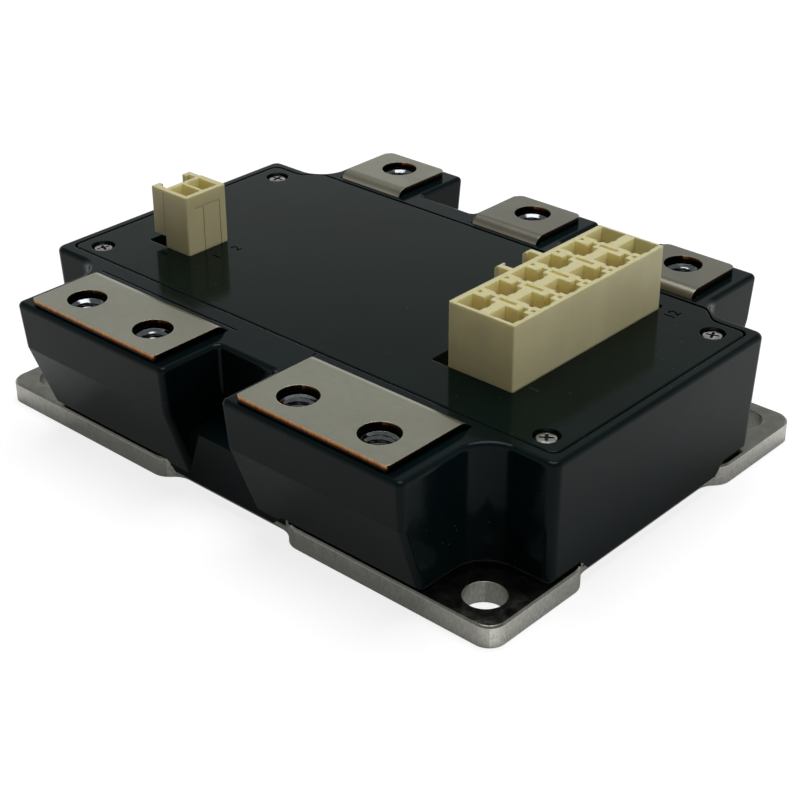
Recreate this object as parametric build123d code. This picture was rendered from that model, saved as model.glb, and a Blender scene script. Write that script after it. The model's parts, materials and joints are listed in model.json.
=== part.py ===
from build123d import *
import math
import os

# Power mosfet module, built as its separate pieces in one frame.
# Millimetres. Origin at the middle of the base plate's underside, +Z up, +X along the long edge.
# -Y is the side with the two wide terminals, +Y the side with the three narrow ones.

# Base plate
plate_length = 122.2
plate_width = 88.86
plate_thick = 4.1
ear_radius = 3.2
plate_edge_break = 0.35
mount_inset_x = 7.04
mount_inset_y = 6.78
mount_hole_dia = 7.5
long_recess_depth = 2.78
long_recess_half = 13.7
long_recess_curve = 4.1
short_recess_depth = 2.65
short_recess_half = 18.6
short_recess_curve = 4.3

# Case frame, outside
case_end_overhang = 0.2
case_end_half_y = 30.1
alcove_length = 14.1
case_top_z = 27.5
draft = 1.9
block_overhang = 5.85
crease_inset = 0.75
crease_z = 18.2
wall_inset = 0.28
wall_foot_z = 4.0
skirt_z = 2.7
front_gap_half = 7.1
front_gap_back = 37.0
rear_gap_half = 7.0
rear_gap_shift = 0.05
rear_gap_back = 36.5
gap_ledge_z = 13.1
alcove_radius = 5.8
end_corner_radius = 1.8
block_corner_radius = 1.2
gap_corner_radius = 1.0
top_edge_radius = 0.9
seat_gap = 0.2
skirt_clearance = 0.3
rebate_depth = 0.8
rebate_top_z = 5.1
long_skirt_half = 12.6
short_skirt_half = 18.9
line_width = 0.35
line_depth = 0.2
left_line = (-45.6, -8.6, 31.1)
right_line = (8.0, 27.9, 29.0)

# Case frame, inside
end_wall = 4.9
side_wall = 2.9
block_end_wall = 4.2
gap_back_wall = 2.2
cavity_corner_radius = 2.0
ledge_thick = 2.1
ledge_width = 2.5
boss_radius = 3.7
shelf_inset = 2.8
shelf_y = 13.0
shelf_half = 3.0
shelf_reach = 2.2

# Lid
lid_end_inset = 2.4
lid_front_inset = 2.8
lid_leg_gap = 1.4
lid_ear_inset = 2.4
lid_step_inset = 8.9
lid_step_run = 1.65
lid_step_radius = 3.0
lid_corner_radius = 1.8
lid_thick = 2.8
lid_gap = 0.35
lid_edge_radius = 0.3
lid_post_dia = 5.0
lid_post_spots = ((-22.0, 14.0), (10.0, 14.0), (-22.0, -17.0), (10.0, -17.0))
window_gap = 0.25
signal_window_reach = (0.3, 1.1)
sense_window_reach = 1.7
window_corner_radius = 0.6

# Lid screws
lid_screw_inset_x = 4.5
lid_screw_inset_y = 3.7
screw_head_dia = 4.05
screw_head_high = 1.6
screw_shank_dia = 2.4
screw_length = 9.0
screw_sink = 0.3
screw_recess_dia = 4.7
cross_reach = 2.5
cross_width = 0.55
cross_depth = 0.9
thread_clearance = 0.1
screw_hole_clearance = 0.2
screw_tip_taper = 0.4
screw_tip_high = 0.8
screw_head_slope = (0.9, 0.35)
screw_head_drop = (0.1, 0.45)
screw_pilot_extra = 1.0
cross_floor_share = 0.45

# Power terminals
terminal_lift = 0.2
terminal_thick = 1.2
terminal_outer_bend = 2.3
terminal_hole_dia = 7.3
front_terminal_corner_radius = 0.8
rear_terminal_corner_radius = 1.6
front_terminal_width = 33.6
front_terminal_inset = 3.6
front_terminal_margin = 1.1
front_hole_inset = 6.6
front_hole_offsets = (-8.86, 9.13)
left_leg_face = 32.4
right_leg_face = 29.5
rear_terminal_width = 16.0
rear_terminal_inset = 3.3
rear_terminal_margin = 2.5
rear_hole_inset = 5.8
rear_leg_face = 32.4
leg_slot_clearance = 0.3
bend_slot_clearance = 0.6
tongue_top_z = 23.0
tongue_width = 5.2
front_tongues = (-13.8, -2.8, 10.2)
rear_tongues = (-3.8, 3.8)
foot_end_y = 20.2
foot_bend = 1.0

# Nuts under the terminals
nut_across_flats = 10.0
nut_high = 5.0
nut_bore_dia = 5.0
nut_sink = 0.1
nut_clearance = 0.15
nut_edge_break = 0.7
nut_edge_drop = 0.42
nut_bore_break = 0.5
nut_turn = 30.0
nut_well_dia = 7.0
nut_well_floor_z = 14.5

# Control board
board_under_z = 17.5
board_thick = 1.6
board_clearance = 0.5
board_side_gap = 2.6
board_boss_gap_y = 1.3
board_boss_gap_x = 1.5
board_corner_radius = 1.0
board_screw_head_dia = 4.6
board_screw_head_high = 1.5
board_screw_dia = 2.4
board_screw_length = 6.5
board_hole_dia = 2.7
resistor_size = (3.2, 1.6, 0.6)
resistor_end = 0.5
resistor_x = (-26.0, -9.0, 2.0, 19.0)
resistor_y = (-9.0, 2.0, 8.0)

# Twelve-way header
signal_x0 = 27.55
signal_x1 = 41.6
signal_y0 = -16.3
signal_y1 = 25.8
signal_stand = 12.1
signal_columns = (31.1, 38.2)
signal_first_row = -12.6
signal_pitch = 7.1
signal_rows = 6
cell_floor_z = 26.0
cell_half_x = 2.5
cell_near = 2.9
cell_far = 1.3
cell_far_notch = (0.0, 1.2, 2.85)
cell_near_notch = (0.2, 1.2, 3.4)
cell_side_notch = (-1.5, -0.15, 2.72)
header_wall = 0.7
header_rear_wall = 0.42
header_corner_radius = 0.3
rib_slot = (33.0, 36.8)
rib_slot_width = 0.8
rib_slot_depth = 1.0
rib_pit_x = (29.0, 40.35)
header_foot_wall = 1.6
header_foot_high = 2.6
signal_rail_x = 24.3
signal_rails = ((-0.3, 0.8, 1.6), (8.2, 9.2, 7.4))
rail_lip_thick = 0.9
rail_foot_z = 29.6
rail_corner_radius = 0.8

# Two-way header
sense_x0 = -45.2
sense_x1 = -38.4
sense_y0 = -15.5
sense_y1 = -5.5
sense_stand = 11.7
sense_rows = (-12.75, -8.55)
sense_cell_x = (-44.5, -39.4)
sense_cell_half_y = 1.8
sense_rail_x = -48.2
sense_rails = ((-6.9, -5.8, -7.7), (-15.5, -14.3, -13.4))
sense_line_z = 36.5
sense_line_span = (-13.5, -7.1)
sense_line_y = (-11.4, -7.25)
sense_line_width = 0.3
sense_line_depth = 0.2

# Header pins
pin_width = 1.14
pin_tip_z = 35.3
pin_taper = 0.35
pin_point_long = 1.0
pin_tail_z = 15.6
pin_offset_y = -0.8
pin_hole_clearance = 0.05
pad_hole_clearance = 0.15

# Substrates and what sits on them
substrate_x = (-33.9, 0.0, 33.9)
substrate_half_x = 16.1
substrate_half_y = 26.0
solder_thick = 0.15
copper_thick = 0.3
ceramic_thick = 0.4
substrate_corner_radius = 0.5
copper_margin = 0.8
strip_inner_y = 18.8
pad_inner_y = 2.2
track_gap = 0.8
sense_track_x = (-10.2, 0.0, 10.2)
die_x = (-12.0, -4.0, 4.0, 12.0)
mosfet_size = (5.0, 5.0)
mosfet_y = 6.2
diode_size = (4.2, 4.2)
diode_y = 13.6
die_thick = 0.25
ribbon_width = 2.0
ribbon_thick = 0.2
ribbon_rise = 1.5
ribbon_run = 1.3
ribbon_pad = 0.8
ribbon_strip_y = 19.5
gate_pin_dia = 1.0
gate_pin_flange_dia = 2.2
gate_pin_flange_high = 0.8
gate_pin_top_z = 20.6
gate_pin_point = 0.3
thermistor_size = (1.25, 0.8)
thermistor_body_half = 0.75
thermistor_end = 0.5
gel_top_z = 14.0

# How far a cutting shape runs past what it cuts
over = 1.0

# Places worked out from the sizes above
mount_span_x = plate_length - 2 * mount_inset_x
mount_span_y = plate_width - 2 * mount_inset_y
case_half_x = plate_length / 2 + case_end_overhang
case_mid_half_x = case_half_x - alcove_length
wall_reach = plate_width / 2 - wall_inset
block_reach_top = wall_reach + block_overhang
block_reach_crease = block_reach_top - crease_inset
cavity_half_x = case_half_x - end_wall
cavity_end_half_y = case_end_half_y - side_wall
cavity_mid_half_x = case_mid_half_x - block_end_wall
cavity_front_y = front_gap_back - gap_back_wall
cavity_rear_y = rear_gap_back - gap_back_wall
shelf_x = cavity_half_x - shelf_inset
lid_half_x = case_half_x - lid_end_inset
lid_front_y = case_end_half_y - lid_front_inset
lid_ear_y = case_end_half_y - lid_ear_inset
lid_rear_y = rear_leg_face - lid_leg_gap
lid_step_x = lid_half_x - lid_step_inset
lid_screw_x = lid_half_x - lid_screw_inset_x
lid_screw_y = lid_front_y - lid_screw_inset_y
front_terminal_x = case_mid_half_x - front_terminal_inset - front_terminal_width / 2
front_terminal_edge = block_reach_top - front_terminal_margin
front_hole_y = front_terminal_edge - front_hole_inset
rear_terminal_x = case_mid_half_x - rear_terminal_inset - rear_terminal_width / 2
rear_terminal_edge = block_reach_top - rear_terminal_margin
rear_hole_y = rear_terminal_edge - rear_hole_inset
rear_gap_centre = rear_terminal_x / 2 + rear_gap_shift
board_half_x = cavity_half_x - board_clearance
board_half_y = cavity_end_half_y - board_side_gap
board_neck_half_y = lid_screw_y - boss_radius - board_boss_gap_y
board_neck_x = lid_screw_x - boss_radius - board_boss_gap_x
slope = math.tan(math.radians(draft))
seat_z = plate_thick + seat_gap
lid_under_z = case_top_z - lid_thick
roof_under_z = lid_under_z - ledge_thick
terminal_top_z = case_top_z + terminal_lift + terminal_thick
signal_top_z = case_top_z + signal_stand
sense_top_z = case_top_z + sense_stand
signal_window = (
    signal_rail_x - signal_window_reach[0],
    signal_x1 + window_gap,
    signal_y0 - window_gap,
    signal_y1 + signal_window_reach[1],
)
sense_window = (
    sense_rail_x - sense_window_reach,
    sense_x1 + window_gap,
    sense_y0 - window_gap,
    sense_y1 + window_gap,
)
board_top_z = board_under_z + board_thick
back_z = plate_thick + solder_thick
ceramic_z = back_z + copper_thick
track_z = ceramic_z + ceramic_thick
track_top_z = track_z + copper_thick
die_top_z = track_top_z + die_thick
nut_seat_z = case_top_z - nut_sink - nut_high
signal_row_y = [signal_first_row + signal_pitch * row for row in range(signal_rows)]
sense_mid_x = (sense_cell_x[0] + sense_cell_x[1]) / 2


def outline(points, radii, z=0.0):
    """Closed flat outline at height z, each corner with its own radius."""
    line = FilletPolyline(*points, radius=radii, close=True)
    return Pos(0, 0, z) * make_face(line.edges())


def four_fold(quarter, rear_quarter=None):
    """Corner list of an outline from its +X -Y quarter, mirrored to the rest.

    Each corner is (x, distance along y, radius), listed from the end towards the middle.
    """
    rear = rear_quarter or quarter
    front_right = [(x, -y, r) for x, y, r in quarter]
    front_left = [(-x, -y, r) for x, y, r in reversed(quarter)]
    rear_left = [(-x, y, r) for x, y, r in rear]
    rear_right = [(x, y, r) for x, y, r in reversed(rear)]
    corners = front_right + front_left + rear_left + rear_right
    return [(x, y) for x, y, r in corners], [r for x, y, r in corners]


def slab(face, z0, z1):
    """A flat outline drawn at height zero, made into a solid from z0 to z1."""
    return Pos(0, 0, z0) * extrude(face, amount=z1 - z0)


def block(x0, x1, y0, y1, z0, z1):
    """A plain rectangular solid between two corners."""
    size = (x1 - x0, y1 - y0, z1 - z0)
    return Pos((x0 + x1) / 2, (y0 + y1) / 2, (z0 + z1) / 2) * Box(*size)


def rod(x, y, diameter, z0, z1):
    """An upright cylinder."""
    return Pos(x, y, (z0 + z1) / 2) * Cylinder(diameter / 2, z1 - z0)


def section(points, plane, reach):
    """A section drawn on an upright plane, extruded by reach to both sides of it."""
    face = make_face(Polyline(*points, close=True))
    return extrude(plane * face, amount=reach, both=True)


def joined(solids):
    """Separate solids kept together as one group."""
    flat = []
    for item in solids:
        flat.extend(item.solids())
    return Compound(children=flat)


def drafted(half, plane):
    """The case's height with both sides leaning in towards the foot."""
    foot = half - slope * (case_top_z - skirt_z)
    points = [(-foot, skirt_z), (foot, skirt_z), (half, case_top_z), (-half, case_top_z)]
    return section(points, plane, plate_length)


def upright(edge):
    """True for an edge that runs mostly along Z."""
    return abs((edge @ 1 - edge @ 0).normalized().Z) > 0.85


def plate_outline(grow=0.0):
    """The base plate's edge with ears at the corners and recessed sides, grown by a margin."""
    half_x = plate_length / 2 + grow
    half_y = plate_width / 2 + grow
    inner_x = half_x - short_recess_depth
    inner_y = half_y - long_recess_depth
    quarter = [
        (inner_x, short_recess_half - grow, short_recess_curve),
        (half_x, short_recess_half + short_recess_depth - grow, short_recess_curve),
        (half_x, half_y, ear_radius),
        (long_recess_half + long_recess_depth - grow, half_y, long_recess_curve),
        (long_recess_half - grow, inner_y, long_recess_curve),
    ]
    return outline(*four_fold(quarter))


def make_base_plate():
    plate = slab(plate_outline(), 0.0, plate_thick)
    rim = plate.faces().sort_by(Axis.Z)[-1].outer_wire().edges()
    plate = chamfer(rim, plate_edge_break)
    for sx in (-1, 1):
        for sy in (-1, 1):
            hole_x = sx * mount_span_x / 2
            hole_y = sy * mount_span_y / 2
            plate -= rod(hole_x, hole_y, mount_hole_dia, -over, plate_thick + over)
    return plate


def cavity_outline():
    """Plan of the inside, open to the base plate, with the corner bosses and shelves left standing."""
    ends = (cavity_half_x, cavity_end_half_y, 0.0)
    neck = (cavity_mid_half_x, cavity_end_half_y, cavity_corner_radius)
    front = [ends, neck, (cavity_mid_half_x, cavity_front_y, cavity_corner_radius)]
    rear = [ends, neck, (cavity_mid_half_x, cavity_rear_y, cavity_corner_radius)]
    face = outline(*four_fold(front, rear))
    for sx in (-1, 1):
        for sy in (-1, 1):
            boss = Pos(sx * lid_screw_x, sy * lid_screw_y) * Circle(boss_radius)
            corner_x = (lid_screw_x + cavity_half_x) / 2
            corner_y = (lid_screw_y + cavity_end_half_y) / 2
            span_x = cavity_half_x - lid_screw_x
            span_y = cavity_end_half_y - lid_screw_y
            behind = Pos(sx * corner_x, sy * corner_y) * Rectangle(span_x, span_y)
            beside = Pos(sx * (lid_screw_x + cavity_half_x) / 2, sy * lid_screw_y)
            beside *= Rectangle(cavity_half_x - lid_screw_x, 2 * boss_radius)
            above = Pos(sx * lid_screw_x, sy * corner_y) * Rectangle(2 * boss_radius, span_y)
            shelf_mid = (shelf_x - shelf_reach + cavity_half_x) / 2
            shelf = Pos(sx * shelf_mid, sy * shelf_y)
            shelf *= Rectangle(cavity_half_x - shelf_x + shelf_reach, 2 * shelf_half)
            face = face - boss - behind - beside - above - shelf
    return face


def lid_outline(grow=0.0):
    """Edge of the lid, or of the pocket or opening around it when grown or shrunk."""
    half_x = lid_half_x + grow
    front = [(half_x, lid_front_y + grow, lid_corner_radius)]
    rear = [
        (half_x, lid_ear_y + grow, lid_corner_radius),
        (lid_step_x + lid_step_run, lid_ear_y + grow, lid_step_radius),
        (lid_step_x - lid_step_run, lid_rear_y + grow, lid_step_radius),
    ]
    return outline(*four_fold(front, rear))


def terminal_spots():
    """Each terminal's name, middle x, width, outer edge, leg face, side, holes, tongues and corner radius."""
    near, far = front_hole_offsets
    wide = (front_terminal_width, front_terminal_edge)
    slim = (rear_terminal_width, rear_terminal_edge)
    ahead = front_tongues
    mirrored = tuple(-x for x in ahead)
    sharp = front_terminal_corner_radius
    soft = rear_terminal_corner_radius
    return [
        ("terminal_front_left", -front_terminal_x, *wide, left_leg_face, -1, (-near, -far), mirrored, sharp),
        ("terminal_front_right", front_terminal_x, *wide, right_leg_face, -1, (near, far), ahead, sharp),
        ("terminal_rear_left", -rear_terminal_x, *slim, rear_leg_face, 1, (0.0,), rear_tongues, soft),
        ("terminal_rear_middle", 0.0, *slim, rear_leg_face, 1, (0.0,), rear_tongues, soft),
        ("terminal_rear_right", rear_terminal_x, *slim, rear_leg_face, 1, (0.0,), rear_tongues, soft),
    ]


def nut_spots():
    """Middle of every nut, which is also the middle of the hole above it."""
    spots = []
    for name, mid_x, width, edge, leg, side, holes, *_ in terminal_spots():
        hole_y = front_hole_y if side < 0 else rear_hole_y
        spots += [(mid_x + hole, side * hole_y) for hole in holes]
    return spots


def gap_cutter(centre, half, side, back):
    """What is taken away between two neighbouring blocks, down to the ledge and past the wall."""
    roof = case_top_z + over
    under = skirt_z - over
    low = half + slope * (case_top_z - under)
    high = half - slope * (roof - case_top_z)
    across = [(centre - low, under), (centre + low, under), (centre + high, roof), (centre - high, roof)]
    ledge_back = back - slope * (case_top_z - gap_ledge_z)
    down = [
        (side * back, roof),
        (side * ledge_back, gap_ledge_z),
        (side * wall_reach, gap_ledge_z),
        (side * wall_reach, under),
        (side * plate_width, under),
        (side * plate_width, roof),
    ]
    return section(across, Plane.XZ, plate_length) & section(down, Plane.YZ, plate_length)


def case_shell():
    """The outside of the case before anything is hollowed: end part, blocks, gaps and rounding."""
    half_profile = [
        (wall_reach, skirt_z),
        (wall_reach, wall_foot_z),
        (block_reach_crease, crease_z),
        (block_reach_top, case_top_z),
    ]
    profile = half_profile + [(-y, z) for y, z in reversed(half_profile)]
    middle = drafted(case_mid_half_x, Plane.XZ) & section(profile, Plane.YZ, plate_length)
    middle -= gap_cutter(0.0, front_gap_half, -1, front_gap_back)
    for sx in (-1, 1):
        middle -= gap_cutter(sx * rear_gap_centre, rear_gap_half, 1, rear_gap_back)
    ends = drafted(case_half_x, Plane.XZ) & drafted(case_end_half_y, Plane.YZ)
    shell = middle + ends

    def round_edges(body, test, radius):
        return fillet([e for e in body.edges() if upright(e) and test(e.center())], radius)

    def at_alcove(c):
        return abs(abs(c.X) - case_mid_half_x) < 1.5 and abs(c.Y) < case_end_half_y

    def at_end(c):
        return abs(c.X) > (case_mid_half_x + case_half_x) / 2

    def at_block(c):
        return abs(c.Y) > wall_reach + block_overhang / 4

    def at_gap_back(c):
        beside = rear_gap_centre + 2 * rear_gap_half
        return abs(c.X) < beside and abs(c.Y) < (front_gap_back + wall_reach) / 2

    shell = round_edges(shell, at_alcove, alcove_radius)
    shell = round_edges(shell, at_end, end_corner_radius)
    shell = round_edges(shell, at_block, block_corner_radius)
    shell = round_edges(shell, at_gap_back, gap_corner_radius)
    roof = shell.faces().sort_by(Axis.Z)[-1]
    return fillet(roof.outer_wire().edges(), top_edge_radius)


def seat_outline():
    """Foot of the case where it stands on the ears, inside the rebate."""
    drop = slope * (case_top_z - rebate_top_z)
    x_end = case_half_x - drop - rebate_depth
    x_mid = case_mid_half_x - drop - rebate_depth
    y_end = case_end_half_y - drop - rebate_depth
    y_mid = wall_reach - rebate_depth
    inner_curve = alcove_radius + rebate_depth
    quarter = [
        (x_end, y_end, end_corner_radius / 2),
        (x_mid, y_end, inner_curve),
        (x_mid, y_mid, end_corner_radius / 2),
    ]
    return outline(*four_fold(quarter))


def skirt_section(half, plane):
    """Where the wall runs on down past the plate's recessed edge, with sloped ends."""
    rise = rebate_top_z - skirt_z
    points = [(-half, 0.0), (-half, skirt_z), (-half - rise, rebate_top_z + 0.01)]
    points += [(-y, z) for y, z in reversed(points)]
    return section(points, plane, plate_length)


def nut_pocket(x, y):
    """Hexagonal pocket with a round well below for the end of a bolt."""
    flats = nut_across_flats + 2 * nut_clearance
    hexagon = RegularPolygon(flats / 2, 6, major_radius=False, rotation=nut_turn)
    pocket = Pos(x, y, 0) * slab(hexagon, nut_seat_z, case_top_z + over)
    return pocket + rod(x, y, nut_well_dia, nut_well_floor_z, nut_seat_z + over)


def make_case_frame():
    case = case_shell()
    below = block(-case_half_x, case_half_x, -plate_width, plate_width, 0.0, rebate_top_z)
    rebate = below - slab(seat_outline(), 0.0, rebate_top_z)
    rebate -= skirt_section(long_skirt_half, Plane.XZ)
    rebate -= skirt_section(short_skirt_half, Plane.YZ)
    case -= rebate
    case -= slab(plate_outline(skirt_clearance), 0.0, seat_z)
    case -= slab(cavity_outline(), 0.0, roof_under_z)
    case -= slab(lid_outline(lid_gap), lid_under_z, case_top_z + over)
    bosses = rod(lid_screw_x, lid_screw_y, 2 * boss_radius, roof_under_z - over, lid_under_z)
    bosses += mirror(bosses, Plane.XZ)
    bosses += mirror(bosses, Plane.YZ)
    case -= slab(lid_outline(-ledge_width), roof_under_z - over, lid_under_z + over) - bosses
    for sx in (-1, 1):
        for sy in (-1, 1):
            hole = screw_shank_dia + 2 * thread_clearance
            deep = lid_under_z - screw_length
            case -= rod(sx * lid_screw_x, sy * lid_screw_y, hole, deep, lid_under_z + over)
            shelf = block(shelf_x - shelf_reach, cavity_half_x, shelf_y - shelf_half, shelf_y + shelf_half,
                          board_under_z, roof_under_z)
            if sx < 0:
                shelf = mirror(shelf, Plane.YZ)
            if sy < 0:
                shelf = mirror(shelf, Plane.XZ)
            case -= shelf
            pilot = board_screw_dia + 2 * thread_clearance
            low = board_top_z - board_screw_length - screw_pilot_extra
            case -= rod(sx * shelf_x, sy * shelf_y, pilot, low, board_under_z + over)
    for name, mid_x, width, edge, leg, side, holes, *_ in terminal_spots():
        half = width / 2 + leg_slot_clearance
        near = leg - leg_slot_clearance
        far = leg + terminal_thick + bend_slot_clearance
        y0, y1 = sorted((side * near, side * far))
        case -= block(mid_x - half, mid_x + half, y0, y1, roof_under_z - over, case_top_z + over)
    for x, y in nut_spots():
        case -= nut_pocket(x, y)
    half = line_width / 2
    floor = case_top_z - line_depth
    x0, x1, line_y = left_line
    case -= block(x0, x1, -line_y - half, -line_y + half, floor, case_top_z + over)
    line_x, y0, y1 = right_line
    case -= block(line_x - half, line_x + half, -y1, -y0, floor, case_top_z + over)
    return case


def make_case_seal():
    ring = slab(seat_outline(), plate_thick, seat_z)
    ring = ring & slab(plate_outline(-skirt_clearance), 0.0, seat_z + over)
    return ring - slab(cavity_outline(), 0.0, seat_z + over)


def window(bounds, z0, z1):
    """Rectangular way through the lid with small corner radii."""
    x0, x1, y0, y1 = bounds
    face = Pos((x0 + x1) / 2, (y0 + y1) / 2) * RectangleRounded(x1 - x0, y1 - y0, window_corner_radius)
    return slab(face, z0, z1)


def make_lid():
    lid = slab(lid_outline(), lid_under_z, case_top_z)
    rim = lid.faces().sort_by(Axis.Z)[-1].outer_wire().edges()
    lid = fillet(rim, lid_edge_radius)
    for x, y in lid_post_spots:
        lid += rod(x, y, lid_post_dia, board_top_z, lid_under_z)
    for bounds in (signal_window, sense_window):
        lid -= window(bounds, lid_under_z - over, case_top_z + over)
    seat = case_top_z - screw_sink - screw_head_high
    for sx in (-1, 1):
        for sy in (-1, 1):
            x = sx * lid_screw_x
            y = sy * lid_screw_y
            lid -= rod(x, y, screw_recess_dia, seat, case_top_z + over)
            lid -= rod(x, y, screw_shank_dia + 2 * screw_hole_clearance, lid_under_z - over, seat + over)
    return lid


def screw(head_dia, head_high, shank_dia, shank_long, head_z):
    """Cross-recess screw whose head stands on height head_z."""
    top = head_z + head_high
    tip = head_z - shank_long
    radius = head_dia / 2
    shank = shank_dia / 2
    turn = [
        (0.0, tip),
        (shank - screw_tip_taper, tip),
        (shank, tip + screw_tip_high),
        (shank, head_z),
        (radius, head_z),
        (radius, top - screw_head_drop[1]),
        (radius - screw_head_slope[1], top - screw_head_drop[0]),
        (radius - screw_head_slope[0], top),
        (0.0, top),
    ]
    body = revolve(Plane.XZ * make_face(Polyline(*turn, close=True)), Axis.Z)
    half = cross_reach / 2
    floor = half * cross_floor_share
    low = top - cross_depth
    mouth = top + cross_width
    arm = [(-half, mouth), (half, mouth), (half, top), (floor, low), (-floor, low), (-half, top)]
    body -= section(arm, Plane.XZ, cross_width / 2)
    body -= section(arm, Plane.YZ, cross_width / 2)
    return body


def make_lid_screws():
    seat = case_top_z - screw_sink - screw_head_high
    one = screw(screw_head_dia, screw_head_high, screw_shank_dia, screw_length, seat)
    turns = ((1, 1, 20), (1, -1, 35), (-1, -1, 70), (-1, 1, 8))
    placed = [Pos(sx * lid_screw_x, sy * lid_screw_y, 0) * Rot(0, 0, turn) * one for sx, sy, turn in turns]
    return joined(placed)


def make_board_screws():
    one = screw(board_screw_head_dia, board_screw_head_high, board_screw_dia, board_screw_length, board_top_z)
    placed = [Pos(sx * shelf_x, sy * shelf_y, 0) * one for sx in (-1, 1) for sy in (-1, 1)]
    return joined(placed)


def make_terminal(mid_x, width, edge, leg, side, holes, tongues, corner):
    """One bent strip: outer plate, bend, leg down through the case, and feet on the substrates."""
    under = terminal_top_z - terminal_thick
    inner_bend = terminal_outer_bend - terminal_thick
    back = leg + terminal_thick
    foot_top = track_top_z + terminal_thick
    points = [
        (side * edge, terminal_top_z),
        (side * leg, terminal_top_z),
        (side * leg, foot_top),
        (side * foot_end_y, foot_top),
        (side * foot_end_y, track_top_z),
        (side * back, track_top_z),
        (side * back, under),
        (side * edge, under),
    ]
    radii = [0, terminal_outer_bend, foot_bend, 0, 0, foot_bend + terminal_thick, inner_bend, 0]
    line = FilletPolyline(*points, radius=radii, close=True)
    strip = extrude(Plane.YZ * make_face(line.edges()), amount=width / 2, both=True)
    corners = [e for e in strip.edges().filter_by(Axis.Z) if abs(abs(e.center().Y) - edge) < 0.1]
    strip = fillet(corners, corner)
    y0, y1 = sorted((side * (foot_end_y - over), side * (back + over)))
    waste = block(-width, width, y0, y1, 0.0, tongue_top_z)
    for middle in tongues:
        waste -= block(middle - tongue_width / 2, middle + tongue_width / 2, y0, y1, 0.0, tongue_top_z)
    strip -= waste
    hole_y = side * (front_hole_y if side < 0 else rear_hole_y)
    for hole in holes:
        strip -= rod(hole, hole_y, terminal_hole_dia, under - over, terminal_top_z + over)
    return Pos(mid_x, 0, 0) * strip


def make_nuts():
    hexagon = RegularPolygon(nut_across_flats / 2, 6, major_radius=False, rotation=nut_turn)
    corner = nut_across_flats / math.sqrt(3)
    bore = nut_bore_dia / 2
    turn = [
        (bore, nut_bore_break),
        (bore + nut_bore_break, 0.0),
        (corner - nut_edge_break, 0.0),
        (corner, nut_edge_drop),
        (corner, nut_high - nut_edge_drop),
        (corner - nut_edge_break, nut_high),
        (bore + nut_bore_break, nut_high),
        (bore, nut_high - nut_bore_break),
    ]
    one = slab(hexagon, 0.0, nut_high) & revolve(Plane.XZ * make_face(Polyline(*turn, close=True)), Axis.Z)
    return joined([Pos(x, y, nut_seat_z) * one for x, y in nut_spots()])


def make_board():
    quarter = [
        (board_half_x, board_neck_half_y, board_corner_radius),
        (board_neck_x, board_neck_half_y, board_corner_radius),
        (board_neck_x, board_half_y, board_corner_radius),
    ]
    board = slab(outline(*four_fold(quarter)), board_under_z, board_top_z)
    for sx in (-1, 1):
        for sy in (-1, 1):
            board -= rod(sx * shelf_x, sy * shelf_y, board_hole_dia, board_under_z - over, board_top_z + over)
    hole = gate_pin_dia + 2 * pad_hole_clearance
    for x, y in gate_spots():
        board -= rod(x, y, hole, board_under_z - over, board_top_z + over)
    half = pin_width / 2 + pad_hole_clearance
    for x, y in signal_spots() + sense_spots():
        board -= block(x - half, x + half, y - half, y + half, board_under_z - over, board_top_z + over)
    return board


def make_resistors():
    long, wide, high = resistor_size
    half = long / 2
    body = half - resistor_end
    spans = ((-half, -body), (-body, body), (body, half))
    one = [block(x0, x1, -wide / 2, wide / 2, board_top_z, board_top_z + high) for x0, x1 in spans]
    return joined([Pos(x, y, 0) * piece for x in resistor_x for y in resistor_y for piece in one])


def gate_spots():
    """Foot of every pin that joins a substrate to the board."""
    return [(mid + x, 0.0) for mid in substrate_x for x in sense_track_x]


def signal_spots():
    return [(x, y + pin_offset_y) for x in signal_columns for y in signal_row_y]


def sense_spots():
    return [(sense_mid_x, y) for y in sense_rows]


def pin_hole(x, y):
    half = pin_width / 2 + pin_hole_clearance
    return block(x - half, x + half, y - half, y + half, board_top_z - over, cell_floor_z + over)


def signal_cell(x, y, row):
    """One contact cell with its keying notches; the end rows run flat to the outer wall."""
    top = signal_top_z + over
    near = y - cell_near
    far = y + cell_far
    if row == 0:
        near = signal_y0 + header_wall
    if row == signal_rows - 1:
        far = signal_y1 - header_rear_wall
    cell = block(x - cell_half_x, x + cell_half_x, near, far, cell_floor_z, top)
    if row < signal_rows - 1:
        a, b, reach = cell_far_notch
        cell += block(x + a, x + b, y, y + reach, cell_floor_z, top)
    if row > 0:
        a, b, reach = cell_near_notch
        cell += block(x + a, x + b, y - reach, y, cell_floor_z, top)
    a, b, reach = cell_side_notch
    return cell + block(x, x + reach, y + a, y + b, cell_floor_z, top)


def latch_rail(wall_x, tip_x, rail, top_z):
    """L-shaped latch guide on the -X face: a fin with a lip turned towards its neighbour."""
    y0, y1, lip_y = rail
    fin = block(tip_x, wall_x, y0, y1, rail_foot_z, top_z)
    lip_a, lip_b = sorted((lip_y, y0 if lip_y < y0 else y1))
    lip = block(tip_x, tip_x + rail_lip_thick, lip_a, lip_b, rail_foot_z, top_z)
    return fin + lip


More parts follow.
